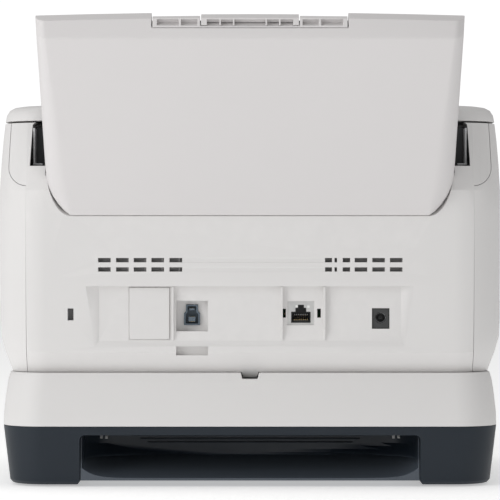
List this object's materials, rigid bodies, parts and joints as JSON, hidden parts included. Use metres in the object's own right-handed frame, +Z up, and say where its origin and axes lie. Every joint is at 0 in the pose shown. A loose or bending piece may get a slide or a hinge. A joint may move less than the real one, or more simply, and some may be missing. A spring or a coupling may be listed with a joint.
{
  "type": "sheet fed document scanner",
  "caption": "Desktop sheet fed scanner on a two-tone base, with a fold-over paper chute leaning back, a front cover that swings off the feed path and a pull-out tray.",
  "frame": {"origin": "centre of the footprint of the whole object with its chute open, on the table plane", "axes": "+X to the right seen from the front, +Y to the rear, +Z up"},
  "size_m": [0.306, 0.292, 0.281],
  "materials": {
    "shell_white": "fine moulded texture",
    "chute_grey": "fine moulded texture",
    "shell_dark": "satin moulded",
    "inner_black": "matt moulded",
    "rim_grey": "satin",
    "rubber": "matt",
    "steel": "brushed",
    "acetal": "satin",
    "scan_glass": "polished",
    "circuit": "solder mask",
    "usb_blue": "satin",
    "port_metal": "plated",
    "jack_black": "matt",
    "motor_case": "satin",
    "panel_black": "gloss",
    "button_silver": "satin",
    "button_blue": "satin"
  },
  "bodies": {
    "base": {"base_lower_shell": "shell_dark", "handle_liner": "shell_dark", "base_upper_shell": "shell_white", "rubber_feet": "rubber", "base_screws": "steel", "exit_guide": "inner_black", "rear_cover": "shell_white", "side_cover_left": "shell_white", "side_cover_right": "shell_white", "option_cover": "shell_white", "hopper_frame": "inner_black", "hopper_rims": "rim_grey", "feed_bed": "inner_black", "frame_plate_left": "steel", "frame_plate_right": "steel", "shaft_bushes": "acetal", "rear_scan_unit": "inner_black", "rear_scan_glass": "scan_glass", "main_board": "circuit", "usb_port": "usb_blue", "lan_port": "port_metal", "dc_jack": "jack_black", "lock_plate": "steel", "drive_motor": "motor_case", "drive_belt": "rubber", "pick_belt": "rubber"},
    "chute": {"chute_shell": "chute_grey", "chute_bed": "inner_black", "chute_pins": "steel"},
    "extension": {"chute_extension": "chute_grey"},
    "extension_tip": {"chute_extension_tip": "chute_grey"},
    "guide_r": {"guide_right": "inner_black"},
    "guide_l": {"guide_left": "inner_black"},
    "pinion": {"guide_pinion": "acetal"},
    "pick": {"pick_roller": "rubber", "pick_shaft": "steel"},
    "feed": {"feed_rollers": "rubber", "feed_shaft": "steel"},
    "exit": {"exit_rollers": "rubber", "exit_shaft": "steel"},
    "motor": {"motor_pulley": "steel"},
    "cover": {"front_cover": "shell_white", "cover_guide": "inner_black", "cover_frame": "inner_black", "cover_pins": "steel", "front_scan_unit": "inner_black", "front_scan_glass": "scan_glass", "panel_bezel": "panel_black", "touch_screen": "panel_black"},
    "separation": {"separation_roller": "rubber"},
    "upper_idler": {"upper_idlers": "acetal"},
    "lower_idler": {"lower_idlers": "acetal"},
    "power": {"power_button": "button_silver"},
    "stop": {"stop_button": "button_silver"},
    "scan": {"scan_button": "button_blue"},
    "release": {"release_button": "button_silver"},
    "tray": {"output_tray": "inner_black"},
    "tray_ext": {"tray_extension": "inner_black"},
    "stopper": {"tray_stopper": "inner_black"}
  },
  "joints": [
    {"name": "chute_hinge", "type": "hinge", "parent": "base", "child": "chute", "pos_m": [0, 0.05448, 0.2], "axis": [-1, 0, 0], "range_deg": [-118, 0]},
    {"name": "extension_slide", "type": "slide", "parent": "chute", "child": "extension", "axis": [0, 0.4695, 0.8829], "range_m": [0, 0.07]},
    {"name": "extension_tip_slide", "type": "slide", "parent": "extension", "child": "extension_tip", "axis": [0, 0.4695, 0.8829], "range_m": [0, 0.06]},
    {"name": "guide_right_slide", "type": "slide", "parent": "base", "child": "guide_r", "axis": [-1, 0, 0], "range_m": [0, 0.066]},
    {"name": "guide_left_slide", "type": "slide", "parent": "base", "child": "guide_l", "axis": [1, 0, 0], "range_m": [0, 0.066]},
    {"name": "guide_pinion_spin", "type": "hinge", "parent": "base", "child": "pinion", "pos_m": [0, 0.07842, 0.15556], "axis": [0, -0.8829, 0.4695], "range_deg": [-5, 636]},
    {"name": "pick_spin", "type": "hinge", "parent": "base", "child": "pick", "pos_m": [0, 0.06372, 0.13187], "axis": [1, 0, 0], "continuous": true},
    {"name": "feed_spin", "type": "hinge", "parent": "base", "child": "feed", "pos_m": [0, 0.04745, 0.11844], "axis": [1, 0, 0], "continuous": true},
    {"name": "exit_spin", "type": "hinge", "parent": "base", "child": "exit", "pos_m": [0, 0.01422, 0.0852], "axis": [1, 0, 0], "continuous": true},
    {"name": "motor_spin", "type": "hinge", "parent": "base", "child": "motor", "pos_m": [0, 0.06598, 0.088], "axis": [1, 0, 0], "continuous": true},
    {"name": "cover_hinge", "type": "hinge", "parent": "base", "child": "cover", "pos_m": [0, -0.06552, 0.1], "axis": [1, 0, 0], "range_deg": [0, 75]},
    {"name": "separation_spin", "type": "hinge", "parent": "cover", "child": "separation", "pos_m": [0, 0.05106, 0.14453], "axis": [1, 0, 0], "continuous": true},
    {"name": "upper_idler_spin", "type": "hinge", "parent": "cover", "child": "upper_idler", "pos_m": [0, 0.03869, 0.12721], "axis": [1, 0, 0], "continuous": true},
    {"name": "lower_idler_spin", "type": "hinge", "parent": "cover", "child": "lower_idler", "pos_m": [0, 0.00545, 0.09397], "axis": [1, 0, 0], "continuous": true},
    {"name": "power_press", "type": "slide", "parent": "cover", "child": "power", "axis": [0, 0.9686, -0.2487], "range_m": [0, 0.0008], "stiffness_N_per_m": 600, "springref_m": -0.001},
    {"name": "stop_press", "type": "slide", "parent": "cover", "child": "stop", "axis": [0, 0.9686, -0.2487], "range_m": [0, 0.0008], "stiffness_N_per_m": 600, "springref_m": -0.001},
    {"name": "scan_press", "type": "slide", "parent": "cover", "child": "scan", "axis": [0, 0.9686, -0.2487], "range_m": [0, 0.0008], "stiffness_N_per_m": 600, "springref_m": -0.001},
    {"name": "release_press", "type": "slide", "parent": "cover", "child": "release", "axis": [0, 0, -1], "range_m": [0, 0.0012], "stiffness_N_per_m": 600, "springref_m": -0.001},
    {"name": "tray_slide", "type": "slide", "parent": "base", "child": "tray", "axis": [0, -1, 0], "range_m": [0, 0.11]},
    {"name": "tray_extension_slide", "type": "slide", "parent": "tray", "child": "tray_ext", "axis": [0, -1, 0], "range_m": [0, 0.095]},
    {"name": "stopper_flip", "type": "hinge", "parent": "tray_ext", "child": "stopper", "pos_m": [0, -0.12732, 0.046], "axis": [1, 0, 0], "range_deg": [0, 92]}
  ],
  "couplings": [
    {"joint": "guide_left_slide", "follows": "guide_right_slide", "ratio": 1},
    {"joint": "guide_pinion_spin", "follows": "guide_right_slide", "rad_per_m": 166.67},
    {"joint": "pick_spin", "follows": "feed_spin", "ratio": 1},
    {"joint": "exit_spin", "follows": "feed_spin", "ratio": 1},
    {"joint": "motor_spin", "follows": "feed_spin", "ratio": 1.5}
  ]
}
